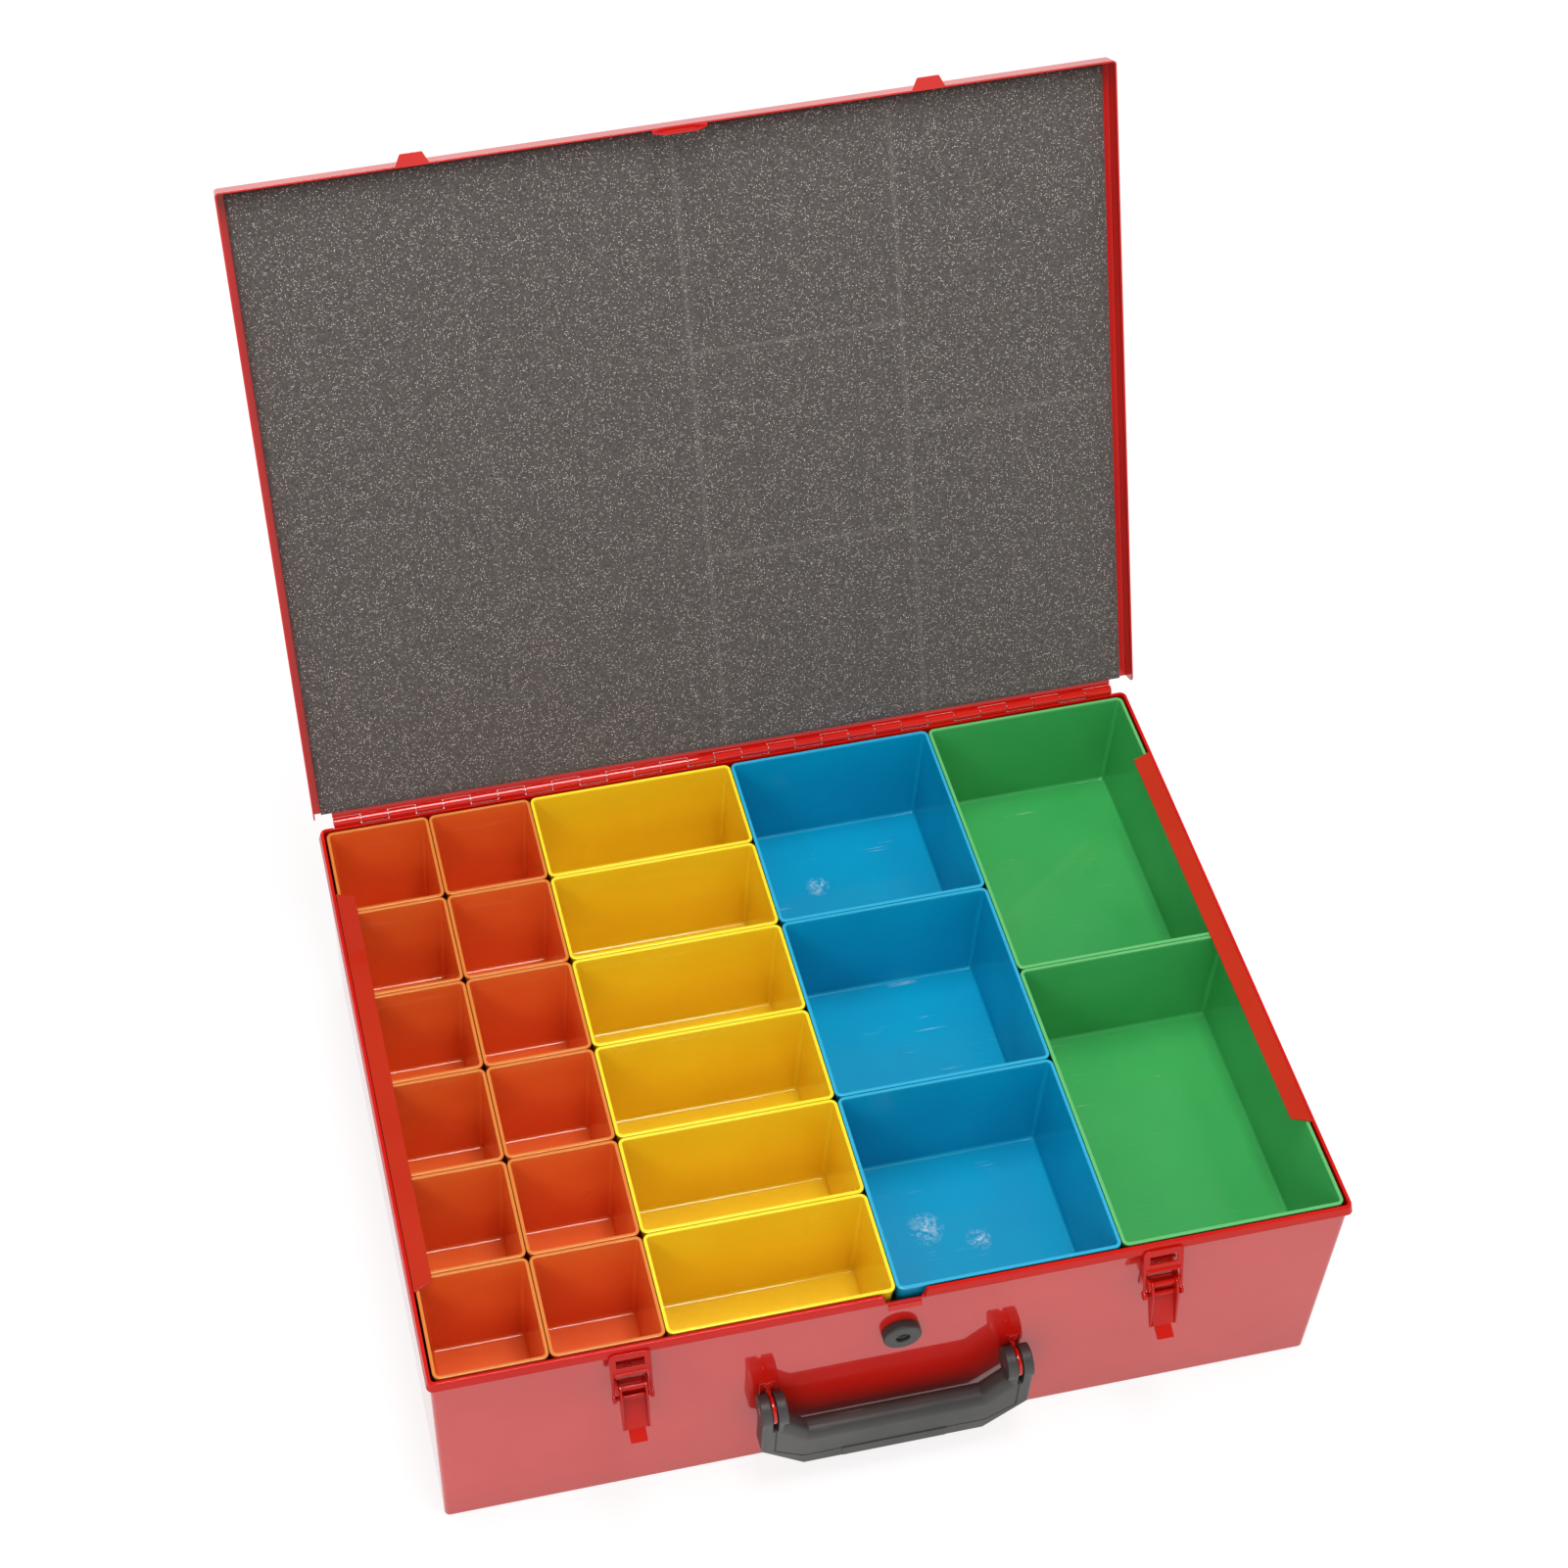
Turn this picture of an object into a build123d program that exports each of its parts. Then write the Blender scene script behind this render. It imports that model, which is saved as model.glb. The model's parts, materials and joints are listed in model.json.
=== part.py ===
from build123d import *
import os
from math import acos, atan2, cos, degrees, hypot, radians, sin

# Assortment case: a painted sheet steel case with a hinged lid, two toggle latches, a lock,
# a swinging handle and a lift-out tray that carries plastic bins.
# The origin is the middle of the base, X runs to the right, Y to the hinge and Z up.

# Bins and their grid of square cells
cell = 54.0
columns = 8
rows = 6
bin_height = 63.0
bin_gap = 0.4
bin_wall = 1.1
bin_floor = 1.3
bin_lip = 0.5
bin_lip_height = 1.2
bin_draft = 2.6
bin_corner = 3.5
bin_inner_fillet = 1.6
bin_base_fillet = 1.4
bin_rim_round = 0.3

# Sheet thicknesses and clearances
sheet = 0.8
tray_sheet = 0.7
side_clearance = 0.3
seat_clearance = 0.1

# Case
lower_space = 67.5
rim_rise = 0.5
case_corner = 2.6
base_bend = 1.8
hem_height = 5.0
hem_round = 0.6
hem_flare = 1.8

# Continuous hinge
hinge_length = 422.0
knuckle_count = 29
knuckle_radius = 2.45
leaf_sheet = 0.9
hinge_pin_radius = 1.5
pin_clearance = 0.05
knuckle_gap = 0.4
notch_clearance = 0.45
case_leaf_height = 14.0
lid_leaf_width = 22.0
hinge_rise = 2.0

# Lid, measured from the hinge axis
lid_open_angle = 115.34
lid_width = 442.0
lid_reach = 336.0
lid_rear_edge = 5.6
lid_side_start = 6.0
lid_depth = 11.35
lid_corner = 2.0
lid_bend = 1.2
lid_tab_round = 3.0
foam_width = 433.0
foam_reach = 333.0
foam_corner = 1.5
foam_clearance = 0.4
foam_leaf_gap = 0.3

# Keeper lips and lock staple on the front edge of the lid
latch_spread = 126.5
keeper_base = 16.5
keeper_tip = 10.8
keeper_length = 5.6
staple_root = 27.0
staple_tip = 16.0
staple_height = 5.6
staple_band = 2.5
staple_out = 3.3

# Tray
tray_corner = 4.5
tray_upstand = 12.0
strip_width = 9.2
strip_rear = 120.4
strip_front = -116.0
strip_slant = 3.5
strip_clearance = 0.3
tray_notch_left = -22.0
tray_notch_right = 36.0
tray_notch_depth = 2.4
support_height = 26.0
support_ledge = 9.0
support_length = 300.0

# Lock
lock_x = 3.2
lock_drop = 34.0
lock_disc_radius = 9.2
lock_disc_height = 4.6
lock_disc_round = 1.0
lock_barrel_radius = 6.0
lock_core_radius = 3.4
lock_core_sink = 1.5
lock_neck_radius = 2.5
key_slot_length = 4.4
key_slot_width = 1.4
key_slot_depth = 2.5
nut_radius = 8.5
nut_sheet = 0.6
cam_length = 27.5
cam_width = 9.0
cam_tip = 4.5
cam_gap = 0.1
cam_sheet = 0.8
notch_width_top = 22.0
notch_width_bottom = 16.0
notch_depth = 7.5
notch_lip_flat = 1.6
notch_lip_reach = 2.8
notch_lip_drop = 2.6

# Latches: the lever pivots on pin A, the bail on pin B, and B is placed with the lever closed
lever_width = 13.0
lever_sheet = 1.0
lever_pivot_out = 8.5
lever_pivot_drop = 22.0
lever_rest_angle = 28.0
lever_top = 2.4
lever_web_end = 25.0
lever_web_in = 4.0
lever_cheek_out = 3.2
lever_cheek_tip = 0.4
tongue_width = 8.0
tongue_drop = 5.0
tongue_kick = 4.0
bail_pin_drop = 6.1
bail_pin_in = 1.5
bail_length = 27.1
bail_sheet = 1.0
bail_width = 19.4
bail_arm = 1.5
bail_window_width = 13.2
bail_window_height = 5.0
bail_top_bar = 3.6
bail_mid_bar = 4.2
bail_corner = 2.5
bail_ridge = 1.1
bail_knuckle_radius = 2.35
bail_contact_gap = 0.3
latch_pin_radius = 1.3
ear_gap = 0.3
ear_sheet = 1.0
ear_radius = 3.2
latch_plate_top = 13.0
latch_plate_bottom = 33.0
rivet_radius = 1.2
rivet_head_radius = 2.2
rivet_head = 0.8
latch_rivet_drops = (16.0, 29.5)

# Handle
handle_width = 132.0
handle_pivot_out = 10.0
handle_pivot_drop = 68.0
knuckle_width = 12.5
handle_knuckle_radius = 8.0
handle_bottom_drop = 114.0
handle_bar_top_drop = 86.0
handle_bevel_x = 45.0
handle_bevel_drop = 95.0
handle_inner_bevel = 11.0
handle_front = 18.0
handle_back = 6.0
handle_edge = 2.0
handle_grip_round = 5.0
fork_slot = 2.8
fork_slot_depth = 7.5
handle_pin_radius = 2.0
lug_sheet = 1.8
lug_radius = 7.0
lug_neck = 8.8
lug_foot_width = 8.0
lug_foot_sheet = 1.2
lug_foot_above = 10.0
lug_foot_below = 9.0
label_width = 52.0
label_height = 7.0
label_rise = 0.4
groove_rise = 9.5
groove_width = 0.7
groove_depth = 0.5

# Worked-out sizes
grid_width = columns * cell
grid_depth = rows * cell
inner_width = grid_width + 2 * (tray_sheet + side_clearance)
inner_depth = grid_depth + 2 * (tray_sheet + side_clearance)
outer_width = inner_width + 2 * sheet
outer_depth = inner_depth + 2 * sheet
wall_front = -outer_depth / 2
wall_rear = outer_depth / 2
tray_floor_z = sheet + lower_space
bin_base_z = tray_floor_z + tray_sheet + seat_clearance
bin_rim_z = bin_base_z + bin_height
case_height = bin_rim_z + rim_rise
strip_z = bin_rim_z + strip_clearance
axis_y = wall_rear + knuckle_radius
axis_z = bin_rim_z + hinge_rise
knuckle_pitch = hinge_length / knuckle_count
knuckle_bore = hinge_pin_radius + pin_clearance

turn = radians(lid_open_angle)
lid_plane = Plane(origin=(0, axis_y, axis_z), x_dir=(-1, 0, 0), z_dir=(0, sin(turn), cos(turn)))
lid_out = Axis(lid_plane.origin, lid_plane.z_dir)
lid_under = knuckle_radius
lid_rim = lid_under + sheet - lid_depth
foam_face = strip_z + tray_sheet + foam_clearance - axis_z

os.makedirs("parts", exist_ok=True)


def keep(part, name):
    """Label a finished piece and write it to its own file."""
    part.label = name
    export_step(part, f"parts/{name}.step")
    print(name, round(part.volume), "valid" if part.is_valid else "NOT VALID")


def side_plane(x, out, drop, tilt=0.0):
    """Seen from the left end: x runs out of the front wall and y up, tilted outwards by tilt."""
    lean = radians(tilt)
    return Plane(
        origin=(x, wall_front - out, bin_rim_z - drop),
        x_dir=(0, -cos(lean), sin(lean)),
        z_dir=(-1, 0, 0),
    )


# Case body: one deep shell with a folded hem round the front, the sides and the rear corners
with BuildPart() as case_hollow:
    with BuildSketch(Plane.XY.offset(sheet)):
        RectangleRounded(inner_width, inner_depth, case_corner - sheet)
    extrude(amount=case_height)
    fillet(case_hollow.faces().sort_by(Axis.Z)[0].edges(), base_bend - sheet)

notch_z = case_height - notch_depth
rivet_points = [
    (side * latch_spread, bin_rim_z - drop) for side in (-1, 1) for drop in latch_rivet_drops
]
lug_x = (handle_width - knuckle_width) / 2
lug_rivet_points = [
    (side * lug_x, bin_rim_z - handle_pivot_drop + lift)
    for side in (-1, 1)
    for lift in (lug_foot_above - rivet_head_radius, rivet_head_radius - lug_foot_below)
]
with BuildPart() as case_body:
    with BuildSketch(Plane.XY):
        RectangleRounded(outer_width, outer_depth, case_corner)
    extrude(amount=case_height)
    fillet(case_body.faces().sort_by(Axis.Z)[0].edges(), base_bend)
    for z, hem_out in ((case_height - hem_height, hem_flare), (case_height, sheet)):
        with BuildSketch(Plane.XY.offset(z)):
            RectangleRounded(outer_width + 2 * hem_out, outer_depth + 2 * hem_out,
                             case_corner + sheet)
    loft(ruled=True)
    fillet(case_body.faces().sort_by(Axis.Z)[-1].edges(), hem_round)
    add(case_hollow.part, mode=Mode.SUBTRACT)
    with BuildSketch(Plane.XY.offset(case_height - hem_height)):
        with Locations((0, wall_rear + cell / 2)):
            Rectangle(hinge_length + 2 * knuckle_gap, cell)
    extrude(amount=2 * hem_height, mode=Mode.SUBTRACT)
    with BuildSketch(Plane.XZ.offset(-wall_front - 2 * sheet)):
        with BuildLine():
            Polyline(
                (lock_x - notch_width_bottom / 2, notch_z),
                (lock_x + notch_width_bottom / 2, notch_z),
                (lock_x + notch_width_top / 2, case_height + sheet),
                (lock_x - notch_width_top / 2, case_height + sheet),
                close=True,
            )
        make_face()
    extrude(amount=4 * sheet, mode=Mode.SUBTRACT)
    with BuildSketch(side_plane(lock_x + notch_width_bottom / 2, 0, notch_depth - rim_rise)):
        with BuildLine():
            Polyline(
                (-sheet, 0),
                (notch_lip_flat, 0),
                (notch_lip_reach, -notch_lip_drop),
                (notch_lip_reach - sheet, -notch_lip_drop),
                (notch_lip_flat - sheet, -sheet),
                (-sheet, -sheet),
                close=True,
            )
        make_face()
    extrude(amount=notch_width_bottom)
    with BuildSketch(Plane.XZ.offset(-wall_front - 2 * sheet)):
        with Locations((lock_x, bin_rim_z - lock_drop)):
            Circle(lock_barrel_radius)
        with Locations(rivet_points + lug_rivet_points):
            Circle(rivet_radius)
    extrude(amount=4 * sheet, mode=Mode.SUBTRACT)
keep(case_body.part, "case_body")

# Continuous hinge: two leaves whose knuckles take turns along one pin
knuckle_centres = [
    -hinge_length / 2 + knuckle_pitch * (number + 0.5) for number in range(knuckle_count)
]
notch_width = knuckle_pitch + knuckle_gap
notch_reach = knuckle_radius + notch_clearance

with BuildPart() as hinge_leaf_case:
    end = Plane(origin=(-hinge_length / 2, axis_y, axis_z), x_dir=(0, 1, 0), z_dir=(1, 0, 0))
    with BuildSketch(end):
        Circle(knuckle_radius)
        with Locations((-knuckle_radius + leaf_sheet / 2, -case_leaf_height / 2)):
            Rectangle(leaf_sheet, case_leaf_height)
        Circle(knuckle_bore, mode=Mode.SUBTRACT)
    extrude(amount=hinge_length)
    with BuildSketch(Plane.XZ.offset(-axis_y - 2 * knuckle_radius)):
        with Locations([(x, axis_z) for x in knuckle_centres[1::2]]):
            Rectangle(notch_width, 2 * notch_reach)
    extrude(amount=4 * knuckle_radius, mode=Mode.SUBTRACT)
keep(hinge_leaf_case.part, "hinge_leaf_case")

with BuildPart() as hinge_leaf_lid:
    end = Plane(origin=(hinge_length / 2, axis_y, axis_z), x_dir=lid_plane.y_dir, z_dir=(-1, 0, 0))
    with BuildSketch(end):
        Circle(knuckle_radius)
        with Locations((lid_leaf_width / 2, knuckle_radius - leaf_sheet / 2)):
            Rectangle(lid_leaf_width, leaf_sheet)
        Circle(knuckle_bore, mode=Mode.SUBTRACT)
    extrude(amount=hinge_length)
    with BuildSketch(lid_plane.offset(-2 * knuckle_radius)):
        with Locations([(x, 0) for x in knuckle_centres[0::2]]):
            Rectangle(notch_width, 2 * notch_reach)
    extrude(amount=4 * knuckle_radius, mode=Mode.SUBTRACT)
keep(hinge_leaf_lid.part, "hinge_leaf_lid")

with BuildPart() as hinge_pin:
    end = Plane(origin=(-hinge_length / 2, axis_y, axis_z), x_dir=(0, 1, 0), z_dir=(1, 0, 0))
    with BuildSketch(end):
        Circle(hinge_pin_radius)
    extrude(amount=hinge_length)
keep(hinge_pin.part, "hinge_pin")

# Lid: a shallow tray open at the hinge side, with keeper lips and a staple on its front edge
with BuildPart() as lid_hollow:
    with BuildSketch(lid_plane.offset(lid_rim - sheet)):
        with Locations((0, (lid_reach - sheet) / 2)):
            RectangleRounded(lid_width - 2 * sheet, lid_reach - sheet, lid_corner - sheet)
    extrude(amount=lid_depth)
    fillet(lid_hollow.faces().sort_by(lid_out)[-1].edges(), lid_bend - sheet)

with BuildPart() as lid_shell:
    with BuildSketch(lid_plane.offset(lid_rim)):
        with Locations((0, lid_reach / 2)):
            RectangleRounded(lid_width, lid_reach, lid_corner)
    extrude(amount=lid_depth)
    fillet(lid_shell.faces().sort_by(lid_out)[-1].edges(), lid_bend)
    add(lid_hollow.part, mode=Mode.SUBTRACT)
    with BuildSketch(lid_plane.offset(lid_rim - sheet)):
        with Locations((0, lid_rear_edge / 2 - cell)):
            Rectangle(lid_width + cell, lid_rear_edge + 2 * cell)
    extrude(amount=lid_depth + 2 * sheet, mode=Mode.SUBTRACT)
    with BuildSketch(lid_plane.offset(lid_rim - sheet)):
        with Locations((0, lid_side_start / 2 - cell)):
            Rectangle(lid_width + cell, lid_side_start + 2 * cell)
    extrude(amount=lid_depth, mode=Mode.SUBTRACT)
    tab_corners = [
        edge
        for edge in lid_shell.edges().filter_by(Axis.X)
        if lid_plane.to_local_coords(edge.center()).Y < lid_side_start + 0.01
        and lid_plane.to_local_coords(edge.center()).Z < lid_rim + 0.01
    ]
    fillet(tab_corners, lid_tab_round)
    with BuildSketch(lid_plane.offset(lid_rim)):
        for side in (-1, 1):
            with BuildLine():
                Polyline(
                    (side * latch_spread - keeper_base / 2, lid_reach - sheet / 2),
                    (side * latch_spread - keeper_base / 2, lid_reach),
                    (side * latch_spread - keeper_tip / 2, lid_reach + keeper_length),
                    (side * latch_spread + keeper_tip / 2, lid_reach + keeper_length),
                    (side * latch_spread + keeper_base / 2, lid_reach),
                    (side * latch_spread + keeper_base / 2, lid_reach - sheet / 2),
                    close=True,
                )
            make_face()
    extrude(amount=sheet)
    staple_u = wall_rear + knuckle_radius - wall_front + staple_out
    with BuildSketch(lid_plane.offset(lid_rim)):
        with Locations((-lock_x, (staple_u + lid_reach) / 2)):
            Rectangle(staple_root, lid_reach - staple_u)
    extrude(amount=sheet)
    staple_plane = Plane(
        origin=lid_plane.from_local_coords((-lock_x, staple_u, lid_rim + sheet)),
        x_dir=(-1, 0, 0),
        z_dir=lid_plane.y_dir,
    )
    slot_foot = staple_root / 2 - staple_band
    slot_head = staple_tip / 2 - staple_band / 2
    with BuildSketch(staple_plane):
        with BuildLine():
            Polyline(
                (-staple_root / 2, 0),
                (staple_root / 2, 0),
                (staple_root / 2, sheet),
                (staple_tip / 2, sheet + staple_height),
                (-staple_tip / 2, sheet + staple_height),
                (-staple_root / 2, sheet),
                close=True,
            )
        make_face()
        with BuildLine():
            Polyline(
                (-slot_foot, sheet),
                (slot_foot, sheet),
                (slot_head, sheet + staple_height - staple_band),
                (-slot_head, sheet + staple_height - staple_band),
                close=True,
            )
        make_face(mode=Mode.SUBTRACT)
    extrude(amount=sheet)
keep(lid_shell.part, "lid_shell")

with BuildPart() as lid_foam:
    with BuildSketch(lid_plane.offset(foam_face)):
        with Locations((0, (lid_rear_edge + foam_reach) / 2)):
            RectangleRounded(foam_width, foam_reach - lid_rear_edge, foam_corner)
    extrude(amount=lid_under - foam_face)
    with BuildSketch(lid_plane.offset(lid_under - leaf_sheet - foam_leaf_gap)):
        with Locations((0, lid_leaf_width / 2)):
            Rectangle(hinge_length + 2 * foam_leaf_gap, lid_leaf_width + 2 * foam_leaf_gap)
    extrude(amount=2 * leaf_sheet, mode=Mode.SUBTRACT)
keep(lid_foam.part, "lid_foam")

# Tray: a floor with a low upstand, and two side arms that end in strips over the outer bins
tray_width = grid_width + 2 * tray_sheet
tray_depth = grid_depth + 2 * tray_sheet
strip_length = strip_rear - strip_front
strip_middle = (strip_rear + strip_front) / 2
with BuildPart() as insert_tray:
    with BuildSketch(Plane.XY.offset(tray_floor_z)):
        RectangleRounded(tray_width, tray_depth, tray_corner)
    extrude(amount=tray_upstand)
    with BuildSketch(Plane.XY.offset(tray_floor_z + tray_sheet)):
        RectangleRounded(grid_width, grid_depth, tray_corner - tray_sheet)
    extrude(amount=tray_upstand, mode=Mode.SUBTRACT)
    with BuildSketch(Plane.XY.offset(tray_floor_z + tray_sheet)):
        for side in (-1, 1):
            with Locations((side * (grid_width + tray_sheet) / 2, strip_middle)):
                Rectangle(tray_sheet, strip_length)
    extrude(amount=strip_z - tray_floor_z)
    with BuildSketch(Plane.XY.offset(strip_z)):
        for side in (-1, 1):
            outer_x = side * tray_width / 2
            inner_x = side * (tray_width / 2 - strip_width)
            with BuildLine():
                Polyline(
                    (outer_x, strip_rear),
                    (outer_x, strip_front),
                    (inner_x, strip_front + strip_slant),
                    (inner_x, strip_rear - strip_slant),
                    close=True,
                )
            make_face()
    extrude(amount=tray_sheet)
    with BuildSketch(Plane.XY.offset(tray_floor_z - sheet)):
        with Locations(((tray_notch_left + tray_notch_right) / 2, -tray_depth / 2)):
            Rectangle(tray_notch_right - tray_notch_left, 2 * tray_notch_depth)
    extrude(amount=2 * tray_upstand, mode=Mode.SUBTRACT)
keep(insert_tray.part, "insert_tray")

for side, name in ((-1, "tray_support_left"), (1, "tray_support_right")):
    with BuildPart() as tray_support:
        with Locations((side * (inner_width - sheet) / 2, 0, tray_floor_z - support_height / 2)):
            Box(sheet, support_length, support_height)
        with Locations((side * (inner_width - support_ledge) / 2, 0, tray_floor_z - sheet / 2)):
            Box(support_ledge, support_length, sheet)
    keep(tray_support.part, name)


def make_bin(cells_wide, cells_deep, column, row, name):
    """One drafted bin whose rear left cell is at this column and row, counted from the rear."""
    width = cells_wide * cell - bin_gap
    depth = cells_deep * cell - bin_gap
    x = -grid_width / 2 + (column + cells_wide / 2) * cell
    y = grid_depth / 2 - (row + cells_deep / 2) * cell
    top_inset = 2 * bin_lip
    base_inset = 2 * (bin_lip + bin_draft)
    wall_inset = 2 * bin_wall
    corner = bin_corner - bin_lip
    with BuildPart() as hollow:
        for z, inset in ((bin_base_z + bin_floor, base_inset), (bin_rim_z, top_inset)):
            with BuildSketch(Plane.XY.offset(z)):
                with Locations((x, y)):
                    RectangleRounded(width - inset - wall_inset, depth - inset - wall_inset,
                                     corner - bin_wall)
        loft(ruled=True)
        fillet(hollow.faces().sort_by(Axis.Z)[0].edges(), bin_inner_fillet)
    with BuildPart() as body:
        for z, inset in ((bin_base_z, base_inset), (bin_rim_z, top_inset)):
            with BuildSketch(Plane.XY.offset(z)):
                with Locations((x, y)):
                    RectangleRounded(width - inset, depth - inset, corner)
        loft(ruled=True)
        fillet(body.faces().sort_by(Axis.Z)[0].edges(), bin_base_fillet)
        with BuildSketch(Plane.XY.offset(bin_rim_z - bin_lip_height)):
            with Locations((x, y)):
                RectangleRounded(width, depth, bin_corner)
        extrude(amount=bin_lip_height)
        fillet(body.faces().sort_by(Axis.Z)[-1].edges(), bin_rim_round)
        add(hollow.part, mode=Mode.SUBTRACT)
    keep(body.part, name)


for column in range(2):
    for row in range(rows):
        make_bin(1, 1, column, row, f"orange_bin_row{row + 1}_column{column + 1}")
for row in range(rows):
    make_bin(2, 1, 2, row, f"yellow_bin_row{row + 1}")
for number, place in enumerate(("rear", "middle", "front")):
    make_bin(2, 2, 4, 2 * number, f"blue_bin_{place}")
for number, place in enumerate(("rear", "front")):
    make_bin(2, 3, 6, 3 * number, f"green_bin_{place}")

# Toggle latches
pin_reach = lever_width / 2 + ear_gap + ear_sheet
ear_inner = lever_width / 2 + ear_gap
opened = radians(lever_rest_angle)
bail_out = lever_pivot_out - bail_pin_in * cos(opened) + bail_pin_drop * sin(opened)
bail_drop = lever_pivot_drop + bail_pin_in * sin(opened) + bail_pin_drop * cos(opened)
lean_reach = bail_out - hem_flare - bail_contact_gap
lean_rise = bail_drop + rim_rise - hem_height
lean_length = hypot(lean_reach, lean_rise)
bail_lean = acos(bail_sheet / 2 / lean_length) - atan2(lean_rise, lean_reach)
window_top = bail_length - bail_top_bar
window_bottom = window_top - bail_window_height
arm_top = window_bottom - bail_mid_bar
arm_inner = bail_width / 2 - bail_arm
print("latch pivots out and drop:", lever_pivot_out, lever_pivot_drop, bail_out, bail_drop)
print("bail lean in degrees:", degrees(bail_lean))


def latch(centre, place):
    """One toggle latch round the X of its middle, with its lever and bail as they rest."""
    with BuildPart() as base:
        with BuildSketch(side_plane(centre + pin_reach, 0, 0)):
            with Locations((lever_sheet / 2, -(latch_plate_top + latch_plate_bottom) / 2)):
                Rectangle(lever_sheet, latch_plate_bottom - latch_plate_top)
        extrude(amount=2 * pin_reach)
        for outer_x in (centre + pin_reach, centre - ear_inner):
            with BuildSketch(side_plane(outer_x, 0, lever_pivot_drop)):
                with Locations((lever_pivot_out / 2, 0)):
                    Rectangle(lever_pivot_out, 2 * ear_radius)
                with Locations((lever_pivot_out, 0)):
                    Circle(ear_radius)
                with Locations((lever_pivot_out, 0)):
                    Circle(latch_pin_radius, mode=Mode.SUBTRACT)
            extrude(amount=ear_sheet)
        with BuildSketch(Plane.XZ.offset(-wall_front)):
            with Locations([(centre, bin_rim_z - drop) for drop in latch_rivet_drops]):
                Circle(rivet_radius)
        extrude(amount=2 * lever_sheet, mode=Mode.SUBTRACT)
    keep(base.part, f"latch_base_{place}")

    right = centre + lever_width / 2
    left = centre - lever_width / 2
    web_face = lever_sheet - lever_web_in
    with BuildPart() as lever:
        for outer_x in (right, left + lever_sheet):
            with BuildSketch(side_plane(outer_x, lever_pivot_out, lever_pivot_drop,
                                        lever_rest_angle)):
                with BuildLine():
                    Polyline(
                        (-lever_web_in, lever_top),
                        (lever_cheek_out - lever_sheet, lever_top),
                        (lever_cheek_out, lever_top - lever_sheet),
                        (lever_cheek_out, -bail_pin_drop),
                        (web_face + lever_cheek_tip, -lever_web_end),
                        (-lever_web_in, -lever_web_end),
                        close=True,
                    )
                make_face()
            extrude(amount=lever_sheet)
        with BuildSketch(side_plane(right, lever_pivot_out, lever_pivot_drop, lever_rest_angle)):
            with Locations((-lever_web_in + lever_sheet / 2, (lever_top - lever_web_end) / 2)):
                Rectangle(lever_sheet, lever_top + lever_web_end)
        extrude(amount=lever_width)
        with BuildSketch(side_plane(centre + tongue_width / 2, lever_pivot_out,
                                    lever_pivot_drop, lever_rest_angle)):
            with BuildLine():
                Polyline(
                    (-lever_web_in, lever_sheet - lever_web_end),
                    (web_face, lever_sheet - lever_web_end),
                    (web_face, -lever_web_end),
                    (web_face + tongue_kick, -lever_web_end - tongue_drop),
                    (tongue_kick - lever_web_in, -lever_web_end - tongue_drop - lever_sheet / 2),
                    (-lever_web_in, -lever_web_end - lever_sheet),
                    close=True,
                )
            make_face()
        extrude(amount=tongue_width)
        for out, drop, radius in (
            (lever_pivot_out, lever_pivot_drop, latch_pin_radius + pin_clearance),
            (bail_out, bail_drop, latch_pin_radius),
        ):
            with BuildSketch(side_plane(right, out, drop)):
                Circle(radius)
            extrude(amount=lever_width, mode=Mode.SUBTRACT)
    keep(lever.part, f"latch_lever_{place}")

    with BuildPart() as pin:
        with BuildSketch(side_plane(centre + bail_width / 2, bail_out, bail_drop)):
            Circle(latch_pin_radius)
        extrude(amount=bail_width)
    keep(pin.part, f"bail_pin_{place}")

    bail_plane = Plane(
        origin=(centre, wall_front - bail_out, bin_rim_z - bail_drop),
        x_dir=(1, 0, 0),
        z_dir=(0, -cos(bail_lean), sin(bail_lean)),
    )
    with BuildPart() as bail:
        with BuildSketch(bail_plane.offset(-bail_sheet / 2)):
            with Locations((0, (bail_length + arm_top) / 2 - bail_corner)):
                RectangleRounded(bail_width, bail_length - arm_top + 2 * bail_corner, bail_corner)
            with Locations((0, arm_top - 2 * bail_corner)):
                Rectangle(bail_width, 4 * bail_corner, mode=Mode.SUBTRACT)
            for side in (-1, 1):
                with Locations((side * (arm_inner + bail_arm / 2), arm_top / 2)):
                    Rectangle(bail_arm, arm_top)
            with Locations((0, window_bottom + bail_window_height / 2)):
                Rectangle(bail_window_width, bail_window_height, mode=Mode.SUBTRACT)
        extrude(amount=bail_sheet)
        with BuildSketch(bail_plane):
            with Locations((0, arm_top + bail_sheet / 2)):
                Rectangle(2 * arm_inner, bail_sheet)
        extrude(amount=bail_sheet / 2 + bail_ridge)
        for outer_x in (centre + bail_width / 2, centre - arm_inner):
            with BuildSketch(side_plane(outer_x, bail_out, bail_drop)):
                Circle(bail_knuckle_radius)
            extrude(amount=bail_arm)
        with BuildSketch(side_plane(centre + bail_width / 2, bail_out, bail_drop)):
            Circle(latch_pin_radius + pin_clearance)
        extrude(amount=bail_width, mode=Mode.SUBTRACT)
    keep(bail.part, f"latch_bail_{place}")


latch(-latch_spread, "left")
latch(latch_spread, "right")

with BuildPart() as pivot_pins:
    for side in (-1, 1):
        with BuildSketch(side_plane(side * latch_spread + pin_reach, lever_pivot_out,
                                    lever_pivot_drop)):
            Circle(latch_pin_radius)
        extrude(amount=2 * pin_reach)
keep(pivot_pins.part, "latch_pivot_pins")


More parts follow.
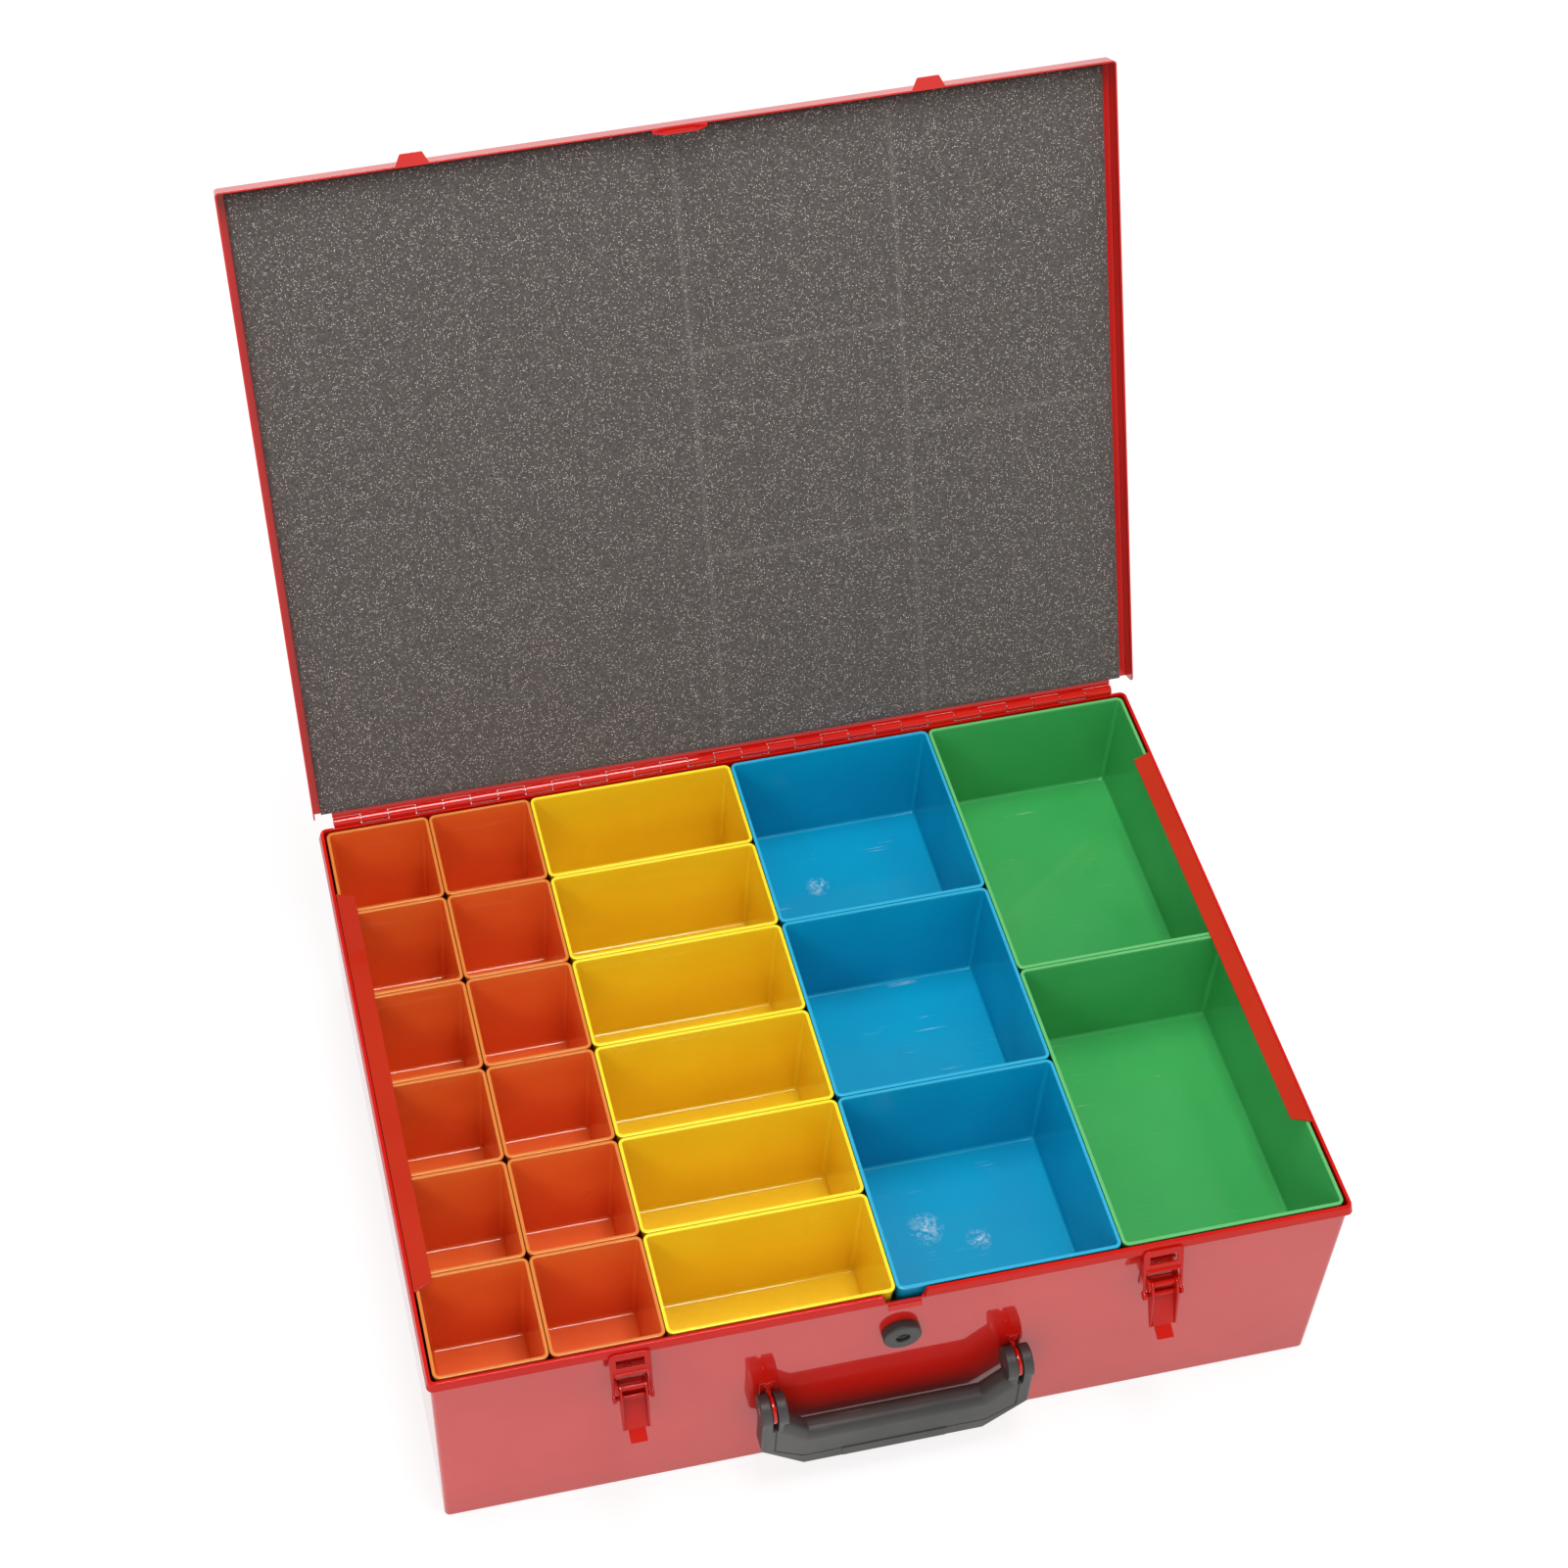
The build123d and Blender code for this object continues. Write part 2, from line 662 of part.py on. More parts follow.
def rivets(points, seat, name):
    """Rivets through the front wall, with heads on a sheet whose face is at seat."""
    with BuildPart() as group:
        with BuildSketch(Plane.XZ.offset(-wall_front - sheet)):
            with Locations(points):
                Circle(rivet_radius)
        extrude(amount=sheet + seat)
        with BuildSketch(Plane.XZ.offset(-wall_front + seat)):
            with Locations(points):
                Circle(rivet_head_radius)
        extrude(amount=rivet_head)
        fillet(group.faces().filter_by(Axis.Y).group_by(Axis.Y)[0].edges(), rivet_head / 2)
    keep(group.part, name)


rivets(rivet_points, lever_sheet, "latch_rivets")
rivets(lug_rivet_points, lug_foot_sheet, "handle_rivets")

# Handle: a moulded grip whose forked ends turn on pins through two blades on the front wall
for side, name in ((-1, "handle_bracket_left"), (1, "handle_bracket_right")):
    foot_x = side * lug_x + lug_foot_width / 2
    with BuildPart() as bracket:
        with BuildSketch(side_plane(foot_x, 0, handle_pivot_drop)):
            with Locations((lug_foot_sheet / 2, (lug_foot_above - lug_foot_below) / 2)):
                Rectangle(lug_foot_sheet, lug_foot_above + lug_foot_below)
        extrude(amount=lug_foot_width)
        with BuildSketch(side_plane(side * lug_x + lug_sheet / 2, 0, handle_pivot_drop)):
            with Locations((handle_pivot_out / 2, 0)):
                Rectangle(handle_pivot_out, lug_neck)
            with Locations((handle_pivot_out, 0)):
                Circle(lug_radius)
        extrude(amount=lug_sheet)
        with BuildSketch(side_plane(foot_x, handle_pivot_out, handle_pivot_drop)):
            Circle(handle_pin_radius)
        extrude(amount=lug_foot_width, mode=Mode.SUBTRACT)
        with BuildSketch(Plane.XZ.offset(-wall_front)):
            with Locations(lug_rivet_points):
                Circle(rivet_radius)
        extrude(amount=lug_foot_sheet, mode=Mode.SUBTRACT)
    keep(bracket.part, name)

with BuildPart() as handle_pins:
    for side in (-1, 1):
        with BuildSketch(side_plane(side * lug_x + knuckle_width / 2, handle_pivot_out,
                                    handle_pivot_drop)):
            Circle(handle_pin_radius)
        extrude(amount=knuckle_width)
keep(handle_pins.part, "handle_pins")

half = handle_width / 2
arm_x = half - knuckle_width
pivot_z = bin_rim_z - handle_pivot_drop
bottom_z = bin_rim_z - handle_bottom_drop
bevel_z = bin_rim_z - handle_bevel_drop
bar_top_z = bin_rim_z - handle_bar_top_drop
bevel_top_z = bar_top_z + handle_inner_bevel
groove_z = bottom_z + groove_rise
groove_x = arm_x + handle_grip_round + 0.6
grip_front = Plane.XZ.offset(-wall_front + handle_front - groove_depth)
with BuildPart() as handle_grip:
    with BuildSketch(Plane.XZ.offset(-wall_front + handle_back)):
        with BuildLine():
            Polyline(
                (half, pivot_z),
                (half, bevel_z),
                (handle_bevel_x, bottom_z),
                (-handle_bevel_x, bottom_z),
                (-half, bevel_z),
                (-half, pivot_z),
                (-arm_x, pivot_z),
                (-arm_x, bevel_top_z),
                (handle_inner_bevel - arm_x, bar_top_z),
                (arm_x - handle_inner_bevel, bar_top_z),
                (arm_x, bevel_top_z),
                (arm_x, pivot_z),
                close=True,
            )
        make_face()
    extrude(amount=handle_front - handle_back)
    front_edges = handle_grip.faces().filter_by(Axis.Y).sort_by(Axis.Y)[0].edges()
    rear_edges = handle_grip.faces().filter_by(Axis.Y).sort_by(Axis.Y)[-1].edges()
    around = [edge for edge in front_edges + rear_edges if edge.center().Z < pivot_z - 1]
    finger_side = [
        edge
        for edge in around
        if abs(edge.center().X) < arm_x + 0.01 and edge.center().Z > bar_top_z - 0.01
    ]
    fillet(finger_side, handle_grip_round)
    outer_side = [
        edge
        for edge in handle_grip.edges().filter_by(GeomType.LINE)
        if (abs(edge.center().X) > half - 0.01 or edge.center().Z < bevel_z + 0.01)
        and edge.center().Z < pivot_z - 1
        and abs(edge.tangent_at(0.5).Y) < 0.01
    ]
    fillet(outer_side, handle_edge)
    for side in (-1, 1):
        with BuildSketch(side_plane(side * lug_x + knuckle_width / 2, handle_pivot_out,
                                    handle_pivot_drop)):
            Circle(handle_knuckle_radius)
        extrude(amount=knuckle_width)
        with BuildSketch(side_plane(side * lug_x + fork_slot / 2, handle_pivot_out,
                                    handle_pivot_drop)):
            with Locations((0, fork_slot_depth)):
                Rectangle(4 * fork_slot_depth, 4 * fork_slot_depth)
        extrude(amount=fork_slot, mode=Mode.SUBTRACT)
        with BuildSketch(side_plane(side * lug_x + knuckle_width / 2, handle_pivot_out,
                                    handle_pivot_drop)):
            Circle(handle_pin_radius + pin_clearance)
        extrude(amount=knuckle_width, mode=Mode.SUBTRACT)
    with BuildSketch(grip_front):
        with BuildLine():
            Polyline(
                (groove_x, bevel_top_z),
                (groove_x, groove_z + groove_rise),
                (handle_bevel_x, groove_z),
                (-handle_bevel_x, groove_z),
                (-groove_x, groove_z + groove_rise),
                (-groove_x, bevel_top_z),
                (-groove_x - groove_width, bevel_top_z),
                (-groove_x - groove_width, groove_z + groove_rise - groove_width / 2),
                (-handle_bevel_x - groove_width / 2, groove_z - groove_width),
                (handle_bevel_x + groove_width / 2, groove_z - groove_width),
                (groove_x + groove_width, groove_z + groove_rise - groove_width / 2),
                (groove_x + groove_width, bevel_top_z),
                close=True,
            )
        make_face()
    extrude(amount=2 * groove_depth, mode=Mode.SUBTRACT)
    with BuildSketch(grip_front):
        with Locations((0, bottom_z + handle_edge + label_height / 2)):
            RectangleRounded(label_width, label_height, 1.0)
    extrude(amount=groove_depth + label_rise)
keep(handle_grip.part, "handle_grip")

# Lock: a disc in the front wall, a plug that turns a cam, and the nut behind
lock_plane = Plane(
    origin=(lock_x, wall_front, bin_rim_z - lock_drop), x_dir=(1, 0, 0), z_dir=(0, -1, 0)
)
nut_back = -sheet - nut_sheet
with BuildPart() as lock_body:
    with BuildSketch(lock_plane):
        Circle(lock_disc_radius)
    extrude(amount=lock_disc_height)
    fillet(lock_body.faces().sort_by(Axis.Y)[0].edges(), lock_disc_round)
    with BuildSketch(lock_plane.offset(nut_back)):
        Circle(lock_barrel_radius)
    extrude(amount=-nut_back)
    with BuildSketch(lock_plane.offset(nut_back)):
        Circle(lock_core_radius + pin_clearance)
    extrude(amount=lock_disc_height - nut_back, mode=Mode.SUBTRACT)
keep(lock_body.part, "lock_body")

cam_front = nut_back - cam_gap
plug_face = lock_disc_height - lock_core_sink
with BuildPart() as lock_plug:
    with BuildSketch(lock_plane.offset(cam_front)):
        Circle(lock_core_radius)
    extrude(amount=plug_face - cam_front)
    with BuildSketch(lock_plane.offset(cam_front - cam_sheet)):
        Circle(lock_neck_radius)
    extrude(amount=cam_sheet)
    with BuildSketch(lock_plane.offset(plug_face)):
        SlotOverall(key_slot_length, key_slot_width)
    extrude(amount=-key_slot_depth, mode=Mode.SUBTRACT)
keep(lock_plug.part, "lock_plug")

with BuildPart() as lock_cam:
    with BuildSketch(lock_plane.offset(cam_front - cam_sheet)):
        Circle(cam_width / 2)
        with Locations(((cam_length - cam_tip / 2) / 2, 0)):
            Rectangle(cam_length - cam_tip / 2, cam_width)
        with Locations((cam_length - cam_tip / 2, 0)):
            Rectangle(cam_tip, cam_tip)
        Circle(lock_neck_radius, mode=Mode.SUBTRACT)
    extrude(amount=cam_sheet)
keep(lock_cam.part, "lock_cam")

with BuildPart() as lock_nut:
    with BuildSketch(lock_plane.offset(nut_back)):
        RegularPolygon(nut_radius, 6)
        Circle(lock_barrel_radius, mode=Mode.SUBTRACT)
    extrude(amount=nut_sheet)
keep(lock_nut.part, "lock_nut")
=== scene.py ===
# %% [markdown]
# # An open assortment case
# The object is a flat carry case of painted sheet steel. Its lid stands open, and the tray in
# it carries open plastic bins in four colours. The pieces come from a CAD model, one mesh for
# each piece, because the CAD model already has the real sizes and joints. This script adds
# what CAD leaves out: finishes, rounded edges, a soft liner, domed rivets, a tighter hinge,
# light and a camera.
# All lengths are metres, and the origin is the middle of the case's base.

import json
import math

import bmesh
import bpy
import numpy as np
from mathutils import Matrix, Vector


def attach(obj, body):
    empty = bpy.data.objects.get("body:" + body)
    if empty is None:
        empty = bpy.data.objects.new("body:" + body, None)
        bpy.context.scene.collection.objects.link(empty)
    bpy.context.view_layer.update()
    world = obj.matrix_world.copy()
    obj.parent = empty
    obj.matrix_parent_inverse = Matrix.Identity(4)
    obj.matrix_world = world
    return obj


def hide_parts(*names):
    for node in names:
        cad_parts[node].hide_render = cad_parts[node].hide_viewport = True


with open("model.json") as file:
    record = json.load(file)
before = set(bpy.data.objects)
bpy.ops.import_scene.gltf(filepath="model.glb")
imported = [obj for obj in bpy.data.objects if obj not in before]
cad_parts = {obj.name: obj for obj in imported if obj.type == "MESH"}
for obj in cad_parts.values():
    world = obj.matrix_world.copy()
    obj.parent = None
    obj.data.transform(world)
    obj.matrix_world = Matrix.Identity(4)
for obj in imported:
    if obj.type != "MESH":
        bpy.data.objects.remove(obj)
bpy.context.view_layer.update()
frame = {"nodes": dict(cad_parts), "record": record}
nodes = frame["nodes"]


# %% [markdown]
# ## Small tools for materials
# Paint, moulded plastic and plated steel all have a fine grain, soft edges and some wear.
# These could be drawn as images, but textures worked out from a point's place need no image
# and have their real size on every piece. Each effect is a node group that only hands out a
# mask or a normal, so that each material below keeps a shader of its own.

# %% Node helpers and the grain
def new_group(name, inputs, outputs):
    group = bpy.data.node_groups.new(name, "ShaderNodeTree")
    for label, kind, value in inputs:
        socket = group.interface.new_socket(label, in_out="INPUT", socket_type=kind)
        if value is not None:
            socket.default_value = value
    for label, kind in outputs:
        group.interface.new_socket(label, in_out="OUTPUT", socket_type=kind)
    return group


def add(tree, kind, **settings):
    """A node with its settings; a dict under 'at' fills input sockets by name or number."""
    node = tree.nodes.new(kind)
    values = settings.pop("at", {})
    for key, value in settings.items():
        setattr(node, key, value)
    for key, value in values.items():
        if isinstance(value, bpy.types.NodeSocket):
            tree.links.new(value, node.inputs[key])
        else:
            node.inputs[key].default_value = value
    return node


def worked(tree, operation, first, second):
    """The result of one sum on numbers or sockets."""
    return add(tree, "ShaderNodeMath", operation=operation, at={0: first, 1: second}).outputs[0]


def ranged(tree, value, low, high, to_low=0.0, to_high=1.0):
    """A value moved from one range to another, and held at both ends."""
    node = add(tree, "ShaderNodeMapRange", at={
        "Value": value, "From Min": low, "From Max": high, "To Min": to_low, "To Max": to_high})
    return node.outputs[0]


def level(tree):
    """The height of a point above the case's base."""
    where = add(tree, "ShaderNodeTexCoord")
    return add(tree, "ShaderNodeSeparateXYZ", at={0: where.outputs["Object"]}).outputs["Z"]


def grain_group():
    """Fine moulded or sprayed grain: a normal, and a slow mottling mask from 0 to 1."""
    group = new_group(
        "Grain",
        [("Size", "NodeSocketFloat", 0.001), ("Height", "NodeSocketFloat", 0.00002),
         ("Edge", "NodeSocketFloat", 0.0002), ("Patch", "NodeSocketFloat", 0.05)],
        [("Normal", "NodeSocketVector"), ("Mottle", "NodeSocketFloat")],
    )
    inside = add(group, "NodeGroupInput")
    where = add(group, "ShaderNodeTexCoord")
    rate = worked(group, "DIVIDE", 1.0, inside.outputs["Size"])
    slow = worked(group, "DIVIDE", 1.0, inside.outputs["Patch"])
    fine = add(group, "ShaderNodeTexNoise", at={
        "Vector": where.outputs["Object"], "Scale": rate, "Detail": 2.0})
    broad = add(group, "ShaderNodeTexNoise", at={
        "Vector": where.outputs["Object"], "Scale": slow, "Detail": 4.0})
    edge = add(group, "ShaderNodeBevel", samples=6, at={"Radius": inside.outputs["Edge"]})
    bump = add(group, "ShaderNodeBump", at={
        "Strength": 1.0, "Distance": inside.outputs["Height"],
        "Height": fine.outputs[0], "Normal": edge.outputs[0]})
    out = add(group, "NodeGroupOutput")
    group.links.new(bump.outputs[0], out.inputs["Normal"])
    group.links.new(broad.outputs[0], out.inputs["Mottle"])
    return group


GRAIN = grain_group()
print("node group:", GRAIN.name, len(GRAIN.nodes), "nodes")


# %% Scratches
def scuff_group():
    """Thin scratches in two directions below the height Top, as a mask from 0 to 1."""
    group = new_group(
        "Scuffs",
        [("Amount", "NodeSocketFloat", 0.5), ("Spread", "NodeSocketFloat", 0.02),
         ("Top", "NodeSocketFloat", 1.0)],
        [("Mask", "NodeSocketFloat")],
    )
    inside = add(group, "NodeGroupInput")
    where = add(group, "ShaderNodeTexCoord")
    masks = []
    for angle, offset in ((0.5, 0.0), (2.2, 7.0)):
        turned = add(group, "ShaderNodeMapping", at={
            "Vector": where.outputs["Object"], "Location": (offset, offset, offset),
            "Rotation": (0.2, 0.1, angle), "Scale": (18.0, 900.0, 240.0)})
        lines = add(group, "ShaderNodeTexNoise", at={
            "Vector": turned.outputs[0], "Scale": 1.0, "Detail": 1.0})
        masks.append(ranged(group, lines.outputs[0], 0.70, 0.78))
    rate = worked(group, "DIVIDE", 1.0, inside.outputs["Spread"])
    patch = add(group, "ShaderNodeTexNoise", at={
        "Vector": where.outputs["Object"], "Scale": rate, "Detail": 3.0})
    local = ranged(group, patch.outputs[0], 0.55, 0.72)
    part = worked(group, "MULTIPLY", worked(group, "MAXIMUM", *masks), local)
    scaled = worked(group, "MULTIPLY", part, inside.outputs["Amount"])
    below = worked(group, "LESS_THAN", level(group), inside.outputs["Top"])
    out = add(group, "NodeGroupOutput")
    group.links.new(worked(group, "MULTIPLY", scaled, below), out.inputs["Mask"])
    return group


SCUFFS = scuff_group()
print("node group:", SCUFFS.name, len(SCUFFS.nodes), "nodes")


# %% Rubbed spots
def smudge_group():
    """A pale rubbed spot round one place on a piece, broken up by noise, from 0 to 1."""
    group = new_group(
        "Smudge",
        [("Place", "NodeSocketVector", None), ("Radius", "NodeSocketFloat", 0.01)],
        [("Mask", "NodeSocketFloat")],
    )
    inside = add(group, "NodeGroupInput")
    where = add(group, "ShaderNodeTexCoord")
    away = add(group, "ShaderNodeVectorMath", operation="DISTANCE", at={
        0: where.outputs["Object"], 1: inside.outputs["Place"]})
    spot = ranged(group, away.outputs["Value"], 0.0, inside.outputs["Radius"], 1.0, 0.0)
    streaks = add(group, "ShaderNodeTexNoise", at={
        "Vector": where.outputs["Object"], "Scale": 260.0, "Detail": 4.0, "Distortion": 1.5})
    broken = ranged(group, streaks.outputs[0], 0.45, 0.75)
    out = add(group, "NodeGroupOutput")
    group.links.new(worked(group, "MULTIPLY", spot, broken), out.inputs["Mask"])
    return group


SMUDGE = smudge_group()
print("node group:", SMUDGE.name, len(SMUDGE.nodes), "nodes")


# %% [markdown]
# ## The finishes
# The steel is sprayed with gloss paint, so a sharp clear coat lies on a red that hardly
# shines. The bins are moulded: their upper edges are painted paler, a painted glow for the
# light that gets into the thin plastic, and their floors carry fine scratches and rubbed
# spots. One function makes all these from two colours that a slow mottling mixes, because
# the finishes differ only in amounts. The paint on the case, the tray and the latches differs
# in tone and in the strength of its coat: the tray's red is darker and browner, and the tray
# and the latches have a weaker coat than the case.

# %% The paints
def srgb(*levels):
    """A colour read in 0 to 255 screen values, as the linear values that shaders use."""
    linear = [
        value / 255 / 12.92 if value <= 10 else ((value / 255 + 0.055) / 1.055) ** 2.4
        for value in levels
    ]
    return (*linear, 1.0)


def mixed(tree, factor, first, second):
    """A colour mix whose ends are colours or sockets."""
    node = add(tree, "ShaderNodeMix", data_type="RGBA", at={0: factor, 6: first, 7: second})
    return node.outputs[2]


def emptied(owner):
    """The node tree of a material or a world, with nothing in it."""
    owner.use_nodes = True
    owner.node_tree.nodes.clear()
    return owner.node_tree


# Heights over which the bins' upper edges turn to the paler rim colour, a painted glow.
RIM_GLOW_LOW, RIM_GLOW_HIGH = 0.1307, 0.1314
HEM_LOW, HEM_HIGH = 0.1272, 0.1280
SCRATCHED, RUBBED = (0.9, 0.9, 0.9, 1.0), (0.8, 0.85, 0.88, 1.0)
GLOW_DEPTH = 0.002


def finish(name, main, second, rough, coat=0.0, coat_rough=0.05, coat_ior=1.5, metal=0.0,
           specular=0.5, grain=0.001, height=0.00002, edge=0.0003, patch=0.05, scuffs=0.0,
           scuff_top=1.0, subsurface=0.0, rim=None, smudges=(), hem=None):
    """A material of two mottled colours under a grain, with the effects that are asked for."""
    material = bpy.data.materials.new(name)
    tree = emptied(material)
    surface = add(tree, "ShaderNodeGroup", node_tree=GRAIN)
    for label, value in (("Size", grain), ("Height", height), ("Edge", edge), ("Patch", patch)):
        surface.inputs[label].default_value = value
    colour = mixed(tree, ranged(tree, surface.outputs["Mottle"], 0.35, 0.65), main, second)
    # Painted glow: the bins' upper edges take the paler rim colour, which stands in for light in
    # the thin plastic.
    if rim:
        colour = mixed(tree, ranged(tree, level(tree), RIM_GLOW_LOW, RIM_GLOW_HIGH), colour, rim)
    if scuffs:
        worn = add(tree, "ShaderNodeGroup", node_tree=SCUFFS)
        worn.inputs["Amount"].default_value = scuffs
        worn.inputs["Top"].default_value = scuff_top
        colour = mixed(tree, worn.outputs["Mask"], colour, SCRATCHED)
    for place, radius in smudges:
        spot = add(tree, "ShaderNodeGroup", node_tree=SMUDGE)
        spot.inputs["Place"].default_value = place
        spot.inputs["Radius"].default_value = radius
        colour = mixed(tree, spot.outputs["Mask"], colour, RUBBED)
    dull = ranged(tree, surface.outputs["Mottle"], 0.3, 0.7, rough * 0.85, rough * 1.15)
    shader = add(tree, "ShaderNodeBsdfPrincipled", at={
        "Base Color": colour, "Roughness": dull,
        "Normal": surface.outputs["Normal"], "Coat Normal": surface.outputs["Normal"],
        "Metallic": metal, "Specular IOR Level": specular, "Coat Weight": coat,
        "Coat Roughness": coat_rough, "Coat IOR": coat_ior, "Subsurface Weight": subsurface,
        "Subsurface Scale": GLOW_DEPTH})
    if hem:
        thinner = ranged(tree, level(tree), HEM_LOW, HEM_HIGH, coat, hem)
        tree.links.new(thinner, shader.inputs["Coat Weight"])
    add(tree, "ShaderNodeOutputMaterial", at={"Surface": shader.outputs[0]})
    return material


PAINT = dict(coat=1.0, coat_rough=0.015, specular=0.05, grain=0.004, height=0.000004, patch=0.08)
FINISH = {
    "red_paint": finish("Red paint", srgb(202, 24, 12), srgb(194, 18, 8), 0.4, **PAINT),
    "case_paint": finish("Red paint on the case", srgb(202, 24, 12), srgb(194, 18, 8), 0.4,
                         hem=0.35, **PAINT),
    # The tray's red is darker and browner than the case's, under a weaker coat.
    "tray_paint": finish("Red paint on the tray", srgb(184, 44, 18), srgb(176, 36, 14), 0.4,
                         **{**PAINT, "coat": 0.8}),
    "latch_paint": finish("Red paint on the latches", srgb(204, 28, 12), srgb(180, 16, 8), 0.35,
                          **{**PAINT, "coat": 0.45, "edge": 0.0006, "grain": 0.002}),
}
print("paints:", list(FINISH))

# %% The plastics and the steel
SPOTS = (((0.0394, 0.1183, 0.0704), 0.007), ((0.0364, -0.0984, 0.0704), 0.010),
         ((0.0604, -0.1093, 0.0704), 0.007))
BIN = dict(coat=0.6, coat_rough=0.06, coat_ior=1.7, specular=0.2, grain=0.0012,
           height=0.00001, edge=0.0004, scuff_top=0.0707)
FINISH |= {
    # The rim colours are a painted glow on the bins' upper edges.
    "orange_plastic": finish("Orange plastic", srgb(240, 112, 44), srgb(234, 102, 38), 0.32,
                             scuffs=0.25, subsurface=0.15, rim=srgb(218, 124, 48), **BIN),
    "yellow_plastic": finish("Yellow plastic", srgb(246, 208, 34), srgb(242, 200, 28), 0.32,
                             scuffs=0.25, subsurface=0.15, rim=srgb(250, 222, 40), **BIN),
    "blue_plastic": finish("Blue plastic", srgb(0, 158, 198), srgb(0, 150, 192), 0.32,
                           scuffs=0.5, subsurface=0.1, rim=srgb(40, 166, 204), smudges=SPOTS,
                           **{**BIN, "coat": 0.4}),
    "green_plastic": finish("Green plastic", srgb(66, 174, 92), srgb(58, 168, 86), 0.34,
                            scuffs=0.25, subsurface=0.1, rim=srgb(96, 184, 108), **BIN),
    "grey_plastic": finish("Dark grey plastic", srgb(56, 56, 54), srgb(46, 46, 44), 0.48,
                           specular=0.65, grain=0.0007, height=0.0001, edge=0.0012,
                           scuffs=0.12),
    "bright_steel": finish("Zinc plated steel", srgb(190, 190, 188), srgb(170, 170, 170), 0.28,
                           metal=1.0, grain=0.0008, height=0.00001, edge=0.0002),
}
print("finishes:", len(FINISH))

# %% Finishes on the pieces
LATCH = ("latch_base", "latch_lever", "latch_bail", "bail_pin", "latch_pivot_pins")
OWN_PAINT = {"case_body": "case_paint", "insert_tray": "tray_paint"}
slots = {entry["node"]: entry["material_slot"] for entry in frame["record"]["subparts"]}
for name, node in nodes.items():
    own = "latch_paint" if name.startswith(LATCH) else slots[name]
    own = OWN_PAINT.get(name, own)
    material = FINISH.get(own, FINISH["grey_plastic"])
    node.data.materials.clear()
    node.data.materials.append(material)
print("finishes are on", len(nodes), "nodes")


# %% [markdown]
# ## Rounded edges on the sheet pieces
# The latches and the handle's blades are pressed from sheet, so every edge is a little round
# and catches a bright line. A bump could fake that, but a real bevel also shows in the outline.
# The CAD mesh is first welded and its flat faces are joined, so that the bevel meets only true
# edges.

# %% Bevels
SHEET_PIECES = ("latch_base", "latch_lever", "latch_bail", "handle_bracket")
EDGE_WIDTH, WELD_REACH = 0.0003, 0.000002


def round_edges(item):
    """Welds the split CAD mesh, joins flat faces and rounds the true edges."""
    weld = item.modifiers.new("Weld", "WELD")
    weld.merge_threshold = WELD_REACH
    flat = item.modifiers.new("Flat faces", "DECIMATE")
    flat.decimate_type = "DISSOLVE"
    flat.angle_limit = math.radians(1.0)
    bevel = item.modifiers.new("Bevel", "BEVEL")
    bevel.width = EDGE_WIDTH
    bevel.segments = 2
    bevel.limit_method = "ANGLE"
    bevel.angle_limit = math.radians(35)
    bevel.harden_normals = False


rounded = [name for name in nodes if name.startswith(SHEET_PIECES)]
for name in rounded:
    round_edges(nodes[name])
print("rounded:", rounded)


# %% [markdown]
# ## The foam liner
# A thin sheet of grey foam lines the lid and presses on the bins when the lid is shut, so
# their rims have left faint lines in it. A displaced plane could show that, but here every
# point is worked out on the open lid's own plane, because the edges must roll off softly and
# the back must step over the hinge leaf. A stored value marks the pressed lines for the colour.

# %% The liner's sizes and pressed lines
AXIS_Y, AXIS_Z, OPEN = 0.16625, 0.1341, math.radians(115.34)
OUT = np.array([0.0, math.sin(OPEN), math.cos(OPEN)])
ALONG = np.array([0.0, -math.cos(OPEN), math.sin(OPEN)])
HINGE = np.array([0.0, AXIS_Y, AXIS_Z])
FOAM_HALF, FOAM_NEAR, FOAM_FAR = 0.2165, 0.0056, 0.333
FOAM_FACE, FOAM_BACK, FOAM_SOFT = -0.0006, 0.0024, 0.0016
FOAM_LIFT, ROLL_DEPTH, FLAT_FROM = 0.0001, 0.0009, 0.01
WAVE_HEIGHT, WAVES_ACROSS, WAVES_ALONG, WAVE_START = 0.00008, 61, 47, 1.0
LEAF_END, LEAF_HALF, LEAF_BACK = 0.0245, 0.2135, 0.0012
CELL, GRID_BACK, PRESS_WIDTH, PRESS_DEPTH = 0.054, 0.162, 0.0011, 0.0003
FAINT_COLUMN, FAINT_ROW = 0.35, 0.25


def press(x, u):
    """How deep the bins' rims have pressed at this point, from 0 to 1."""
    depth = np.zeros_like(x)
    back = AXIS_Y - GRID_BACK
    cols = [(0.0, 0, 6), (2 * CELL, 0, 6), (-2 * CELL, 0, 6)]
    rows = [(2, 0.0, 2 * CELL), (4, 0.0, 2 * CELL), (3, 2 * CELL, 4 * CELL)]
    rows += [(row, -2 * CELL, 0.0) for row in range(1, 6)]
    for at, start, end in cols:
        on = (u > back + start * CELL) & (u < back + end * CELL)
        strength = FAINT_COLUMN if at < 0 else 1.0
        depth = np.maximum(depth, strength * on * np.exp(-(((x - at) / PRESS_WIDTH) ** 2)))
    for row, start, end in rows:
        on = (x > start) & (x < end)
        strength = FAINT_ROW if end <= 0 else 1.0
        line = back + row * CELL
        depth = np.maximum(depth, strength * on * np.exp(-(((u - line) / PRESS_WIDTH) ** 2)))
    return depth


